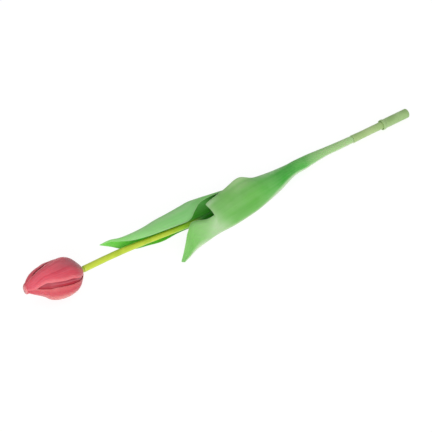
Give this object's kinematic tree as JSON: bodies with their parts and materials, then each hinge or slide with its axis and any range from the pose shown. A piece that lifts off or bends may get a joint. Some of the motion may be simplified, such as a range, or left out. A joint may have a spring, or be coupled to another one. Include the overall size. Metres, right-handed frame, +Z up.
{
  "type": "artificial tulip stem",
  "caption": "Artificial tulip lying on its side: closed pink bud on a bendable green stem, clasping leaves, and a pull-off end cap.",
  "frame": {"origin": "centre of the bounding box at its lowest face, which is the table that the flower lies on", "axes": "+X along the flower from the bud to the capped end, +Z up from the table, +Y away from the side that the outer leaf spreads to"},
  "size_m": [0.47, 0.0604, 0.039],
  "materials": {
    "petal": "soft matte, with a satin sheen",
    "inner petal": "soft matte, a little more purple",
    "cup": "matte",
    "foam": "open foam",
    "stem": "soft matte, with a satin sheen",
    "wire": "drawn wire",
    "peg": "matte",
    "leaf": "soft matte, with a satin sheen and fine veins",
    "bottom sleeve": "soft matte",
    "cap": "matte"
  },
  "bodies": {
    "stem": {"stem_sleeve": "stem", "stem_wire": "wire", "bottom_sleeve": "bottom sleeve"},
    "neck": {"neck_peg": "peg"},
    "head": {"petal_cup": "cup", "bud_core": "foam", "outer_petal_1": "petal", "outer_petal_2": "petal", "outer_petal_3": "petal", "inner_petal_1": "inner petal", "inner_petal_2": "inner petal", "inner_petal_3": "inner petal"},
    "leaf_outer": {"outer_leaf": "leaf"},
    "leaf_inner": {"inner_leaf": "leaf"},
    "cap": {"end_cap": "cap"}
  },
  "joints": [
    {"name": "neck_pull", "type": "slide", "parent": "stem", "child": "neck", "axis": [-0.9996, 0, 0.029], "range_m": [0, 0.012]},
    {"name": "head_turn", "type": "hinge", "parent": "neck", "child": "head", "pos_m": [-0.17358, 0.00858, 0.01703], "axis": [-0.9966, 0.0483, 0.0663], "continuous": true},
    {"name": "leaf_slide", "type": "slide", "parent": "stem", "child": "leaf_outer", "axis": [-0.9996, 0, 0.029], "range_m": [0, 0.012]},
    {"name": "leaf_fan", "type": "hinge", "parent": "leaf_outer", "child": "leaf_inner", "pos_m": [-0.00004, 0.00858, 0.01199], "axis": [-0.9996, 0, 0.029], "range_deg": [-8, 20]},
    {"name": "cap_pull", "type": "slide", "parent": "stem", "child": "cap", "axis": [0.9996, 0, -0.029], "range_m": [0, 0.03]}
  ]
}
